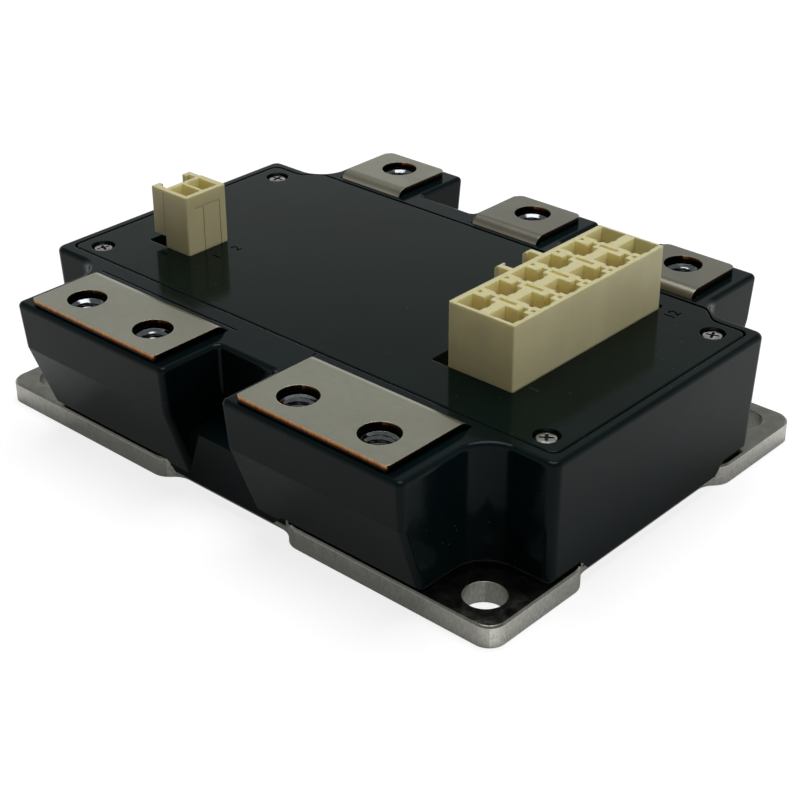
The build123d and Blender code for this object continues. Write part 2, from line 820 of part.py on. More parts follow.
def make_signal_header():
    body = block(signal_x0, signal_x1, signal_y0, signal_y1, board_top_z, signal_top_z)
    body = fillet(body.edges().filter_by(Axis.Z), header_corner_radius)
    for rail in signal_rails:
        body += latch_rail(signal_x0, signal_rail_x, rail, signal_top_z)
    tips = [
        e for e in body.edges().filter_by(Axis.Y)
        if abs(e.center().X - signal_rail_x) < 0.01 and abs(e.center().Z - signal_top_z) < 0.01
    ]
    body = fillet(tips, rail_corner_radius)
    for x in signal_columns:
        for row, y in enumerate(signal_row_y):
            body -= signal_cell(x, y, row)
    for y in signal_row_y[:-1]:
        rib = y + (cell_far + signal_pitch - cell_near) / 2
        low = signal_top_z - rib_slot_depth
        half = rib_slot_width / 2
        body -= block(rib_slot[0], rib_slot[1], rib - half, rib + half, low, signal_top_z + over)
        for x in rib_pit_x:
            body -= block(x - half, x + half, rib - half, rib + half, low, signal_top_z + over)
    body -= block(signal_x0 + header_foot_wall, signal_x1 - header_foot_wall, signal_y0 + header_foot_wall,
                  signal_y1 - header_foot_wall, board_top_z - over, board_top_z + header_foot_high)
    for x, y in signal_spots():
        body -= pin_hole(x, y)
    return body


def make_sense_header():
    body = block(sense_x0, sense_x1, sense_y0, sense_y1, board_top_z, sense_top_z)
    body = fillet(body.edges().filter_by(Axis.Z), header_corner_radius)
    for rail in sense_rails:
        body += latch_rail(sense_x0, sense_rail_x, rail, sense_top_z)
    for y in sense_rows:
        y0 = y - sense_cell_half_y
        y1 = y + sense_cell_half_y
        body -= block(*sense_cell_x, y0, y1, cell_floor_z, sense_top_z + over)
    half = sense_line_width / 2
    inset = sense_x1 - sense_line_depth
    body -= block(inset, sense_x1 + over, *sense_line_span, sense_line_z - half, sense_line_z + half)
    for y in sense_line_y:
        body -= block(inset, sense_x1 + over, y - half, y + half, lid_under_z, sense_line_z)
    body -= block(sense_x0 + header_foot_wall, sense_x1 - header_foot_wall, sense_y0 + header_foot_wall,
                  sense_y1 - header_foot_wall, board_top_z - over, board_top_z + header_foot_high)
    for x, y in sense_spots():
        body -= pin_hole(x, y)
    return body


def make_pins(spots):
    """Square pins with pointed ends, from below the board up into the cells."""
    half = pin_width / 2
    shoulder = pin_tip_z - pin_point_long
    shaft = slab(Rectangle(pin_width, pin_width), pin_tail_z, shoulder)
    foot = Pos(0, 0, shoulder) * Rectangle(pin_width, pin_width)
    point = Pos(0, 0, pin_tip_z) * Rectangle(2 * (half - pin_taper), 2 * (half - pin_taper))
    one = shaft + loft([foot, point])
    return joined([Pos(x, y, 0) * one for x, y in spots])


def make_gate_pins():
    radius = gate_pin_dia / 2
    flange = gate_pin_flange_dia / 2
    turn = [
        (0.0, track_top_z),
        (flange, track_top_z),
        (flange, track_top_z + gate_pin_flange_high),
        (radius, track_top_z + gate_pin_flange_high),
        (radius, gate_pin_top_z - gate_pin_point),
        (radius - gate_pin_point, gate_pin_top_z),
        (0.0, gate_pin_top_z),
    ]
    one = revolve(Plane.XZ * make_face(Polyline(*turn, close=True)), Axis.Z)
    return joined([Pos(x, y, 0) * one for x, y in gate_spots()])


def substrate_layer(half_x, half_y, z0, thick):
    """The same flat layer on all three substrates."""
    face = RectangleRounded(2 * half_x, 2 * half_y, substrate_corner_radius)
    return joined([Pos(x, 0, 0) * slab(face, z0, z0 + thick) for x in substrate_x])


def make_tracks():
    """Copper areas on top of the ceramics: outer strips, die pads and three small tracks between."""
    half_x = substrate_half_x - copper_margin
    edge_y = substrate_half_y - copper_margin
    pieces = []
    for mid in substrate_x:
        for side in (-1, 1):
            strip_y = (strip_inner_y + edge_y) / 2
            strip = Rectangle(2 * half_x, edge_y - strip_inner_y)
            pieces.append(Pos(mid, side * strip_y, 0) * slab(strip, track_z, track_top_z))
            pad_outer = strip_inner_y - track_gap
            pad = Rectangle(2 * half_x, pad_outer - pad_inner_y)
            pad_y = (pad_outer + pad_inner_y) / 2
            pieces.append(Pos(mid, side * pad_y, 0) * slab(pad, track_z, track_top_z))
        small = Rectangle(sense_track_x[1] - sense_track_x[0] - track_gap, 2 * (pad_inner_y - track_gap))
        for x in sense_track_x:
            pieces.append(Pos(mid + x, 0, 0) * slab(small, track_z, track_top_z))
    return joined(pieces)


def make_dies(size, y):
    chip = Rectangle(*size)
    spots = [(mid + x, side * y) for mid in substrate_x for x in die_x for side in (-1, 1)]
    return joined([Pos(x, yy, 0) * slab(chip, track_top_z, die_top_z) for x, yy in spots])


def make_ribbons():
    """Flat bond ribbons that hop from die to die and on to the outer strip."""
    pad = ribbon_pad / 2
    top = [
        (mosfet_y - pad, die_top_z),
        (mosfet_y + pad, die_top_z),
        (mosfet_y + pad + ribbon_run, die_top_z + ribbon_rise),
        (diode_y - pad - ribbon_run, die_top_z + ribbon_rise),
        (diode_y - pad, die_top_z),
        (diode_y + pad, die_top_z),
        (diode_y + pad + ribbon_run, die_top_z + ribbon_rise),
        (ribbon_strip_y - pad - ribbon_run, die_top_z + ribbon_rise),
        (ribbon_strip_y - pad, track_top_z),
        (ribbon_strip_y + pad, track_top_z),
    ]
    thick = ribbon_thick
    path = top + [(y, z + thick) for y, z in reversed(top)]
    one = section(path, Plane.YZ, ribbon_width / 2)
    other = mirror(one, Plane.XZ)
    spots = [mid + x for mid in substrate_x for x in die_x]
    return joined([Pos(x, 0, 0) * piece for x in spots for piece in (one, other)])


def make_thermistor():
    """Chip thermistor bridging two of the small tracks of the middle substrate."""
    wide, high = thermistor_size
    body = thermistor_body_half
    end = body + thermistor_end
    middle = (sense_track_x[1] + sense_track_x[2]) / 2
    spans = ((-end, -body), (-body, body), (body, end))
    z1 = track_top_z + high
    return joined([block(middle + x0, middle + x1, -wide / 2, wide / 2, track_top_z, z1) for x0, x1 in spans])


def make_gel(parts):
    gel = slab(cavity_outline(), plate_thick, gel_top_z)
    for name in parts:
        for solid in PIECES[name].solids():
            gel -= solid
    return gel


PIECES = {
    "base_plate": make_base_plate(),
    "case_frame": make_case_frame(),
    "case_seal": make_case_seal(),
    "lid": make_lid(),
    "lid_screws": make_lid_screws(),
}
for spot in terminal_spots():
    PIECES[spot[0]] = make_terminal(*spot[1:])
PIECES["terminal_nuts"] = make_nuts()
PIECES["control_board"] = make_board()
PIECES["board_screws"] = make_board_screws()
PIECES["board_resistors"] = make_resistors()
PIECES["signal_header"] = make_signal_header()
PIECES["signal_pins"] = make_pins(signal_spots())
PIECES["sense_header"] = make_sense_header()
PIECES["sense_pins"] = make_pins(sense_spots())
PIECES["gate_pins"] = make_gate_pins()
PIECES["substrate_solder"] = substrate_layer(
    substrate_half_x - copper_margin, substrate_half_y - copper_margin, plate_thick, solder_thick)
PIECES["substrate_backs"] = substrate_layer(
    substrate_half_x - copper_margin, substrate_half_y - copper_margin, back_z, copper_thick)
PIECES["substrate_ceramics"] = substrate_layer(substrate_half_x, substrate_half_y, ceramic_z, ceramic_thick)
PIECES["substrate_tracks"] = make_tracks()
PIECES["mosfet_dies"] = make_dies(mosfet_size, mosfet_y)
PIECES["diode_dies"] = make_dies(diode_size, diode_y)
PIECES["bond_ribbons"] = make_ribbons()
PIECES["thermistor"] = make_thermistor()
sunk = [name for name in PIECES if name.startswith(("terminal_f", "terminal_r", "substrate", "gate"))]
PIECES["silicone_gel"] = make_gel(sunk + ["mosfet_dies", "diode_dies", "bond_ribbons", "thermistor"])

os.makedirs("parts", exist_ok=True)
for name, piece in PIECES.items():
    export_step(piece, f"parts/{name}.step")
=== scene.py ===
import json
import math

import bmesh
import bpy
from mathutils import Matrix, Vector


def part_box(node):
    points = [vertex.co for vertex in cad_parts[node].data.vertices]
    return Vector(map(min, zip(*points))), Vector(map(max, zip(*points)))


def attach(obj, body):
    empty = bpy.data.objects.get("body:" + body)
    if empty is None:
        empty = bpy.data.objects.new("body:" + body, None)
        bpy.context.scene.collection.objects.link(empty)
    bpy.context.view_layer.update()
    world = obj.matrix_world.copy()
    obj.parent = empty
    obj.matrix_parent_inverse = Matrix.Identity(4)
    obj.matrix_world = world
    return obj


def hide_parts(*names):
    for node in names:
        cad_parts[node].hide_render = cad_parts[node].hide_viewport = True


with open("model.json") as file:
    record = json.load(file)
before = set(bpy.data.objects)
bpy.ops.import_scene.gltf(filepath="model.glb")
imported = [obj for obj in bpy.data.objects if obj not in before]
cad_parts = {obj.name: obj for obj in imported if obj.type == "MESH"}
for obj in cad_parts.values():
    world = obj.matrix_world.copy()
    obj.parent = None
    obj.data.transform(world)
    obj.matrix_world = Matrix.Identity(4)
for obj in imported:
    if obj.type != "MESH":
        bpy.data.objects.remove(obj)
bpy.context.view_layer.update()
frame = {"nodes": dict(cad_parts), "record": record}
nodes = frame["nodes"]

# Units: metres in Blender, millimetres in the values below
MM = 0.001

# Camera fitted to the photograph, in the part's own frame
PHOTO_WIDTH_PIXELS = 800.0
FOCAL_LENGTH_PIXELS = 1728.3
SENSOR_WIDTH = 36.0
CAMERA_PLACE = (194.736, -212.594, 165.979)
CAMERA_RIGHT = (0.74191463, 0.67048518, -0.00350737)
CAMERA_UP = (-0.32678417, 0.36615558, 0.87128766)
CAMERA_BACK = (0.58546971, -0.64527491, 0.49076013)

# Places on the part that the materials follow, in millimetres
SCREW_HEAD_RADIUS = 2.025
SCREW_CROSS_RADIUS = 1.4
SCREW_CROSS_DEPTH = 0.06
STRIP_THICKNESS = 1.2
CUT_EDGE_FROM_Y = 37.0
REAR_FROM_Y = 20.0
REAR_FULL_Y = 30.0
HEADER_WALL = 0.9

# Terminal nuts, in millimetres
NUT_FLATS = 10.0
NUT_HEIGHT = 5.0
NUT_CORNER_CUT = 0.75
NUT_CHAMFER = 0.42
NUT_MOUTH_RADIUS = 3.2
THREAD_PITCH = 1.0
THREAD_MINOR_RADIUS = 2.5
THREAD_MAJOR_RADIUS = 2.98
THREAD_START = 0.45
THREAD_STEPS = 40
NUT_SEGMENTS = 60

# Studio, in metres
FLOOR_HALF = 4.0
FLOOR_DROP = 0.0001
LIGHT_AIM = (0.0, 0.0, 0.02)

TERMINALS = (
    "terminal_front_left",
    "terminal_front_right",
    "terminal_rear_left",
    "terminal_rear_middle",
    "terminal_rear_right",
)


def make_camera():
    data = bpy.data.cameras.new("camera")
    data.sensor_width = SENSOR_WIDTH
    data.lens = FOCAL_LENGTH_PIXELS / PHOTO_WIDTH_PIXELS * SENSOR_WIDTH
    data.clip_start = 0.01
    data.clip_end = 20.0
    cam = bpy.data.objects.new("camera", data)
    bpy.context.scene.collection.objects.link(cam)
    axes = (Vector(CAMERA_RIGHT), Vector(CAMERA_UP), Vector(CAMERA_BACK))
    turn = Matrix(axes).transposed().to_4x4()
    place = Matrix.Translation(Vector(CAMERA_PLACE) * MM)
    cam.matrix_world = place @ turn
    bpy.context.scene.camera = cam


class Tree:
    """A material's node tree. All patterns use the part's own coordinates in millimetres."""

    def __init__(self, name):
        self.mat = bpy.data.materials.new(name)
        self.mat.use_nodes = True
        self.nt = self.mat.node_tree
        self.bsdf = next(n for n in self.nt.nodes if n.type == "BSDF_PRINCIPLED")
        place = self.nt.nodes.new("ShaderNodeTexCoord")
        scale = self.nt.nodes.new("ShaderNodeMapping")
        scale.inputs["Scale"].default_value = (1000.0, 1000.0, 1000.0)
        self.link(place.outputs["Object"], scale.inputs["Vector"])
        self.mm = scale.outputs["Vector"]
        geometry = self.nt.nodes.new("ShaderNodeNewGeometry")
        self.normal = geometry.outputs["True Normal"]

    def link(self, a, b):
        self.nt.links.new(a, b)

    def set(self, **values):
        for key, value in values.items():
            self.bsdf.inputs[key.replace("_", " ")].default_value = value

    def colour(self, socket):
        self.link(socket, self.bsdf.inputs["Base Color"])

    def rough(self, socket):
        self.link(socket, self.bsdf.inputs["Roughness"])

    def node(self, kind, **props):
        n = self.nt.nodes.new(kind)
        for key, value in props.items():
            setattr(n, key, value)
        return n

    def stretch(self, scale):
        """Coordinates for a pattern drawn out along the axes with a small scale."""
        n = self.node("ShaderNodeMapping")
        n.inputs["Scale"].default_value = scale
        self.link(self.mm, n.inputs["Vector"])
        return n.outputs["Vector"]

    def noise(self, scale, detail, rough, vector=None, distortion=0.0):
        n = self.node("ShaderNodeTexNoise")
        n.inputs["Scale"].default_value = scale
        n.inputs["Detail"].default_value = detail
        n.inputs["Roughness"].default_value = rough
        n.inputs["Distortion"].default_value = distortion
        self.link(vector or self.mm, n.inputs["Vector"])
        return n.outputs["Fac"]

    def specks(self, scale, share):
        """Sparse small dots: 1 inside a dot, 0 elsewhere."""
        dot_radius = 0.16
        n = self.node("ShaderNodeTexVoronoi")
        n.inputs["Scale"].default_value = scale
        self.link(self.mm, n.inputs["Vector"])
        near = self.below(n.outputs["Distance"], dot_radius)
        rare = self.below(self.parts(n.outputs["Color"])[0], share)
        return self.times(near, rare)

    def ramp(self, fac, *stops):
        """stops: (position, colour), from low to high."""
        n = self.node("ShaderNodeValToRGB")
        ramp = n.color_ramp
        while len(ramp.elements) < len(stops):
            ramp.elements.new(0.5)
        for element, (position, colour) in zip(ramp.elements, stops):
            element.position = position
            element.color = (*colour, 1.0)
        self.link(fac, n.inputs["Fac"])
        return n.outputs["Color"]

    def math(self, operation, *values):
        n = self.node("ShaderNodeMath", operation=operation)
        for socket, value in zip(n.inputs, values):
            if isinstance(value, (int, float)):
                socket.default_value = value
            else:
                self.link(value, socket)
        return n.outputs[0]

    def plus(self, a, b):
        return self.math("ADD", a, b)

    def minus(self, a, b):
        return self.math("SUBTRACT", a, b)

    def times(self, a, b):
        return self.math("MULTIPLY", a, b)

    def below(self, a, b):
        return self.math("LESS_THAN", a, b)

    def above(self, a, b):
        return self.math("GREATER_THAN", a, b)

    def size(self, a):
        return self.math("ABSOLUTE", a)

    def blend(self, a, share, b):
        """Two patterns added, with b as large a part of the sum as the share says."""
        return self.plus(self.times(a, 1.0 - share), self.times(b, share))

    def span(self, value, low, high, at_low, at_high):
        n = self.node("ShaderNodeMapRange")
        self.link(value, n.inputs["Value"])
        n.inputs["From Min"].default_value = low
        n.inputs["From Max"].default_value = high
        n.inputs["To Min"].default_value = at_low
        n.inputs["To Max"].default_value = at_high
        return n.outputs["Result"]

    def mix(self, fac, a, b):
        n = self.node("ShaderNodeMix", data_type="RGBA")
        for socket, value in ((n.inputs[0], fac), (n.inputs[6], a), (n.inputs[7], b)):
            if isinstance(value, (int, float)):
                socket.default_value = value
            elif isinstance(value, tuple):
                socket.default_value = (*value, 1.0)
            else:
                self.link(value, socket)
        return n.outputs[2]

    def choose(self, fac, a, b):
        """Like mix, for plain numbers."""
        n = self.node("ShaderNodeMix")
        self.link(fac, n.inputs[0])
        self.link(a, n.inputs[2])
        self.link(b, n.inputs[3])
        return n.outputs[0]

    def parts(self, vector):
        n = self.node("ShaderNodeSeparateXYZ")
        self.link(vector, n.inputs[0])
        return n.outputs

    def inside(self, node, wall):
        """1 within a node's box drawn in by the wall, seen from above, and 0 elsewhere."""
        low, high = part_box(node)
        place = self.parts(self.mm)
        near = []
        for axis in (0, 1):
            middle = (low[axis] + high[axis]) / 2.0 / MM
            reach = (high[axis] - low[axis]) / 2.0 / MM - wall
            near.append(self.below(self.size(self.minus(place[axis], middle)), reach))
        return self.times(near[0], near[1])

    def bump(self, layers, round_edges=0.0):
        """layers: (height, distance in mm, strength), chained one on the next."""
        last = None
        if round_edges:
            n = self.node("ShaderNodeBevel", samples=6)
            n.inputs["Radius"].default_value = round_edges * MM
            last = n.outputs["Normal"]
        for height, distance, strength in layers:
            n = self.node("ShaderNodeBump")
            n.inputs["Distance"].default_value = distance * MM
            n.inputs["Strength"].default_value = strength
            self.link(height, n.inputs["Height"])
            if last is not None:
                self.link(last, n.inputs["Normal"])
            last = n.outputs["Normal"]
        self.link(last, self.bsdf.inputs["Normal"])


def scaled(tone, factor):
    return tuple(c * factor for c in tone)


def moulded_black(name, tone, gloss, wave):
    """Glossy moulded plastic with slow waves, flow marks and a little dust."""
    t = Tree(name)
    low = t.noise(0.035, 3.0, 0.5)
    mid = t.noise(0.6, 5.0, 0.6)
    fine = t.noise(9.0, 2.0, 0.5)
    flow = t.noise(0.9, 4.0, 0.6, t.stretch((0.12, 1.0, 1.0)), 0.6)
    dust = t.times(t.specks(0.9, 0.03), 0.25)
    body = t.ramp(low, (0.3, scaled(tone, 0.7)), (0.7, scaled(tone, 1.4)))
    t.colour(t.mix(dust, body, (0.07, 0.07, 0.065)))
    smear = t.span(t.times(mid, flow), 0.1, 0.45, gloss - 0.035, gloss + 0.075)
    t.rough(t.plus(smear, dust))
    t.set(Specular_IOR_Level=0.09, Specular_Tint=(0.88, 1.0, 0.97, 1.0))
    t.bump([(low, 1.0, wave), (mid, 0.03, 0.12), (fine, 0.006, 0.25)], 0.18)
    return t.mat


def polished_nickel():
    """Ground and plated plate, with rougher and lighter edges where it was sheared. The end faces are
    painted lighter still, as painted light.
    """
    t = Tree("nickel_polished")
    low = t.noise(0.05, 4.0, 0.55)
    mid = t.noise(0.45, 5.0, 0.6, None, 0.4)
    grind = t.noise(5.0, 3.0, 0.6, t.stretch((0.05, 1.0, 1.0)))
    shear = t.noise(2.6, 6.0, 0.75, t.stretch((1.0, 1.0, 0.45)))
    facing = t.parts(t.normal)
    side = t.below(t.size(facing[2]), 0.35)
    end = t.above(t.size(facing[0]), 0.6)
    face = t.ramp(t.times(low, mid), (0.12, (0.19, 0.19, 0.162)), (0.42, (0.29, 0.29, 0.255)))
    long_cut = t.ramp(shear, (0.3, (0.36, 0.355, 0.315)), (0.7, (0.58, 0.575, 0.52)))
    # Painted light: the end faces are painted lighter than the long cut faces.
    end_cut_painted_light = t.ramp(shear, (0.3, (0.44, 0.435, 0.39)), (0.7, (0.84, 0.83, 0.76)))
    t.colour(t.mix(side, face, t.mix(end, long_cut, end_cut_painted_light)))
    face_rough = t.span(mid, 0.3, 0.75, 0.17, 0.30)
    cut_rough = t.span(shear, 0.3, 0.7, 0.26, 0.40)
    t.rough(t.choose(side, face_rough, cut_rough))
    t.set(Metallic=1.0)
    t.bump([(grind, 0.004, 0.3), (t.times(shear, side), 0.03, 0.4)], 0.2)
    return t.mat


def copper_edge_painted_shade(t, place, end):
    """Bare copper, with painted shade low on the edge and bright at the top. The short ends are painted
    almost black as shade.
    """
    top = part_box(TERMINALS[0])[1].z / MM
    height = t.span(place[2], top - STRIP_THICKNESS, top, 0.0, 1.0)
    drag = t.noise(2.2, 4.0, 0.6, t.stretch((1.0, 1.0, 0.35)))
    shade_and_drag = t.plus(height, t.times(t.minus(drag, 0.5), 0.45))
    # Painted shade: near black low on the cut edge, rising to copper and light copper at the top.
    copper = t.ramp(
        shade_and_drag,
        (0.30, (0.012, 0.006, 0.004)),
        (0.50, (0.085, 0.028, 0.010)),
        (0.64, (0.31, 0.118, 0.024)),
        (0.84, (0.36, 0.155, 0.045)),
        (0.97, (0.46, 0.33, 0.20)),
    )
    # Painted shade: the short ends are darkened almost to black.
    painted_end_shade = t.mix(0.92, copper, (0.004, 0.002, 0.001))
    return t.mix(end, copper, painted_end_shade)


def satin_nickel():
    """Plated strip with bare copper where it was sheared or punched, duller on the rear terminals, and
    painted shade on the rear bends.
    """
    t = Tree("nickel_satin")
    low = t.noise(0.06, 4.0, 0.55)
    mid = t.noise(0.7, 5.0, 0.65, None, 0.5)
    streak = t.noise(6.0, 3.0, 0.6, t.stretch((0.035, 1.0, 1.0)))
    facing = t.parts(t.normal)
    place = t.parts(t.mm)
    end = t.above(t.size(facing[0]), 0.6)
    lip = t.below(t.size(facing[2]), 0.5)
    outside = t.above(t.size(place[1]), CUT_EDGE_FROM_Y)
    cut = t.math("MAXIMUM", end, t.times(lip, outside))
    front = t.ramp(t.blend(low, 0.4, mid), (0.32, (0.318, 0.313, 0.250)), (0.66, (0.372, 0.367, 0.298)))
    # The rear terminals take this darker tone, which darkens further towards +X.
    rear_tone = t.ramp(
        t.plus(low, t.times(place[0], 0.004)),
        (0.30, (0.330, 0.315, 0.250)),
        (0.50, (0.228, 0.219, 0.174)),
        (0.78, (0.194, 0.187, 0.149)),
    )
    rear = t.span(place[1], REAR_FROM_Y, REAR_FULL_Y, 0.0, 1.0)
    # Painted shade: the faces of the rear terminals that turn towards -Y, at the bend, are darkened.
    bend_painted_shade = t.times(rear, t.span(facing[1], -0.1, -0.7, 0.0, 0.35))
    plate = t.mix(bend_painted_shade, t.mix(rear, front, rear_tone), (0.150, 0.120, 0.092))
    t.colour(t.mix(cut, plate, copper_edge_painted_shade(t, place, end)))
    t.rough(t.span(t.plus(streak, mid), 0.6, 1.4, 0.29, 0.33))
    t.set(Metallic=1.0)
    t.bump([(streak, 0.0015, 0.15), (low, 0.02, 0.1)], 0.2)
    return t.mat


def ivory_nylon():
    """Natural nylon. Inside the cells the upright walls are painted a brighter yellow, as painted light
    for light come through the thin walls.
    """
    t = Tree("ivory_nylon")
    low = t.noise(0.09, 3.0, 0.5)
    mid = t.noise(1.4, 5.0, 0.6)
    fine = t.noise(12.0, 2.0, 0.5)
    flow = t.noise(0.8, 4.0, 0.6, t.stretch((1.0, 1.0, 0.15)), 0.5)
    up = t.parts(t.normal)[2]
    body = t.ramp(t.blend(low, 0.12, flow), (0.3, (0.60, 0.55, 0.315)), (0.7, (0.69, 0.645, 0.395)))
    # Painted shade: the upward faces are painted darker and yellower than the sides.
    body = t.mix(t.span(up, 0.5, 0.9, 0.0, 0.7), body, (0.56, 0.51, 0.26))
    header = [t.inside(name, HEADER_WALL) for name in ("signal_header", "sense_header")]
    within = t.math("MAXIMUM", header[0], header[1])
    upright = t.below(t.size(up), 0.5)
    # Painted light: a bright yellow glow painted on the upright walls inside the cells.
    cell = t.times(within, t.span(upright, 0.0, 1.0, 0.1, 0.9))
    t.colour(t.mix(cell, body, (0.93, 0.82, 0.42)))
    t.rough(t.span(mid, 0.3, 0.7, 0.38, 0.50))
    t.set(Subsurface_Weight=0.4, Subsurface_Scale=0.0028, Subsurface_Radius=(1.0, 0.8, 0.45))
    t.set(Specular_IOR_Level=0.35)
    t.bump([(flow, 0.01, 0.06), (mid, 0.012, 0.2), (fine, 0.004, 0.3)], 0.22)
    return t.mat


def screw_cross_painted_shade(t, shine):
    """Paints shade into the sunk cross of the four lid screws, which lie alike in the four corners."""
    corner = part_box("lid_screws")[1]
    place = t.parts(t.mm)
    away = [t.minus(t.size(place[i]), corner[i] / MM - SCREW_HEAD_RADIUS) for i in (0, 1)]
    square = t.plus(t.times(away[0], away[0]), t.times(away[1], away[1]))
    inside = t.below(square, SCREW_CROSS_RADIUS ** 2)
    deep = t.below(place[2], corner.z / MM - SCREW_CROSS_DEPTH)
    # Painted shade: the sunk cross is darkened almost to black.
    return t.mix(t.times(inside, deep), shine, (0.035, 0.036, 0.034))


def bright_metal(name, tone, rough, scratch=0.2, cross=False):
    t = Tree(name)
    mid = t.noise(1.6, 5.0, 0.6)
    fine = t.noise(9.0, 3.0, 0.6, t.stretch((1.0, 1.0, 0.3)))
    shine = t.ramp(mid, (0.3, scaled(tone, 0.7)), (0.65, tone))
    if cross:
        shine = screw_cross_painted_shade(t, shine)
    t.colour(shine)
    t.rough(t.span(fine, 0.3, 0.7, rough * 0.7, rough * 1.4))
    t.set(Metallic=1.0)
    t.bump([(mid, 0.03, scratch), (fine, 0.006, 0.3)], 0.06)
    return t.mat


def plain_matter(name, dark, light, rough, scale=0.8, metal=0.0):
    """For the pieces under the lid: mottled tone, uneven sheen, light grain."""
    t = Tree(name)
    mid = t.noise(scale, 5.0, 0.6)
    fine = t.noise(scale * 8.0, 2.0, 0.5)
    t.colour(t.ramp(mid, (0.3, dark), (0.7, light)))
    t.rough(t.span(fine, 0.3, 0.7, rough - 0.06, rough + 0.08))
    t.set(Metallic=metal)
    t.bump([(mid, 0.02, 0.2), (fine, 0.006, 0.3)])
    return t.mat


def circuit_board():
    t = Tree("board_green")
    weave = t.node("ShaderNodeTexWave", wave_type="BANDS", bands_direction="X")
    weave.inputs["Scale"].default_value = 1.2
    t.link(t.mm, weave.inputs["Vector"])
    cell = t.node("ShaderNodeTexBrick")
    cell.inputs["Scale"].default_value = 0.16
    cell.inputs["Mortar Size"].default_value = 0.03
    t.link(t.mm, cell.inputs["Vector"])
    mask = t.noise(0.5, 3.0, 0.5)
    green = t.ramp(mask, (0.3, (0.012, 0.09, 0.035)), (0.7, (0.022, 0.15, 0.06)))
    t.colour(t.mix(cell.outputs["Fac"], green, (0.05, 0.24, 0.10)))
    t.rough(t.span(mask, 0.3, 0.7, 0.22, 0.36))
    t.bump([(weave.outputs["Fac"], 0.01, 0.2), (cell.outputs["Fac"], 0.03, 0.4)])
    return t.mat


def mark_black(name, shine):
    """Matte figures that hardly shine beside the glossy lid."""
    t = Tree(name)
    grain = t.noise(6.0, 4.0, 0.6)
    t.colour(t.ramp(grain, (0.3, (0.0008, 0.0008, 0.0008)), (0.7, (0.0025, 0.0025, 0.0025))))
    t.rough(t.span(grain, 0.3, 0.7, 0.5, 0.65))
    t.set(Specular_IOR_Level=shine)
    t.bump([(grain, 0.01, 0.3)])
    return t.mat


def dress(material, *names):
    for name in names:
        mesh = nodes[name].data
        mesh.materials.clear()
        mesh.materials.append(material)


def dress_outside():
    dress(moulded_black("case_black", (0.0018, 0.0054, 0.0060), 0.12, 0.10), "case_frame")
    dress(moulded_black("lid_black", (0.0012, 0.0056, 0.0045), 0.10, 0.05), "lid")
    dress(polished_nickel(), "base_plate")
    dress(satin_nickel(), *TERMINALS)
    dress(ivory_nylon(), "signal_header", "sense_header")
    dress(bright_metal("screw_steel", (0.50, 0.50, 0.48), 0.22, cross=True), "lid_screws")


def dress_inside():
    dress(bright_metal("board_screw_steel", (0.50, 0.50, 0.49), 0.22), "board_screws")
    dress(bright_metal("pin_tin", (0.66, 0.64, 0.58), 0.25), "signal_pins", "sense_pins", "gate_pins")
    dress(circuit_board(), "control_board")
    resistor = plain_matter("resistor_black", (0.02, 0.02, 0.02), (0.06, 0.06, 0.06), 0.4)
    dress(resistor, "board_resistors")
    solder = plain_matter("solder", (0.38, 0.38, 0.38), (0.56, 0.56, 0.56), 0.38, 1.2, 1.0)
    dress(solder, "substrate_solder")
    copper = plain_matter("copper", (0.50, 0.22, 0.12), (0.70, 0.36, 0.22), 0.34, 0.9, 1.0)
    dress(copper, "substrate_backs", "substrate_tracks")
    ceramic = plain_matter("ceramic_white", (0.74, 0.74, 0.70), (0.84, 0.84, 0.80), 0.55)
    dress(ceramic, "substrate_ceramics")
    silicon = plain_matter("silicon", (0.10, 0.11, 0.14), (0.20, 0.21, 0.26), 0.2, 1.5, 0.4)
    dress(silicon, "mosfet_dies", "diode_dies")
    ribbon = plain_matter("aluminium_ribbon", (0.62, 0.62, 0.62), (0.78, 0.78, 0.78), 0.3, 2.0, 1.0)
    dress(ribbon, "bond_ribbons")
    glaze = plain_matter("thermistor_glaze", (0.05, 0.05, 0.06), (0.11, 0.11, 0.12), 0.25, 3.0)
    dress(glaze, "thermistor")
    gel = plain_matter("clear_gel", (0.55, 0.58, 0.60), (0.66, 0.69, 0.70), 0.2, 0.15)
    dress(gel, "silicone_gel")
    seal = plain_matter("seal_black", (0.006, 0.006, 0.006), (0.014, 0.014, 0.014), 0.6, 1.2)
    dress(seal, "case_seal")


def new_piece(name, mesh, material):
    mesh.materials.clear()
    mesh.materials.append(material)
    piece = bpy.data.objects.new(name, mesh)
    bpy.context.scene.collection.objects.link(piece)
    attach(piece, "root")
    return piece


def hexagon_radius(angle):
    side = math.pi / 3.0
    from_middle = (angle + side / 2.0) % side - side / 2.0
    return NUT_FLATS / 2.0 / math.cos(from_middle)


def thread_radius(angle, z):
    """Radius of a cut thread at one angle and height."""
    flat = 0.12
    flank = 1.0 - 2.0 * flat
    phase = (z / THREAD_PITCH - angle / (2.0 * math.pi)) % 1.0
    tooth = 1.0 - abs(2.0 * phase - 1.0)
    cut = min(1.0, max(0.0, (tooth - flat) / flank))
    return THREAD_MINOR_RADIUS + (THREAD_MAJOR_RADIUS - THREAD_MINOR_RADIUS) * cut


def ring(bm, z, radius):
    """Points around the axis at one height. radius gives the radius at an angle."""
    points = []
    for i in range(NUT_SEGMENTS):
        a = 2.0 * math.pi * i / NUT_SEGMENTS
        r = radius(a)
        points.append(bm.verts.new((r * math.cos(a) * MM, r * math.sin(a) * MM, z * MM)))
    return points


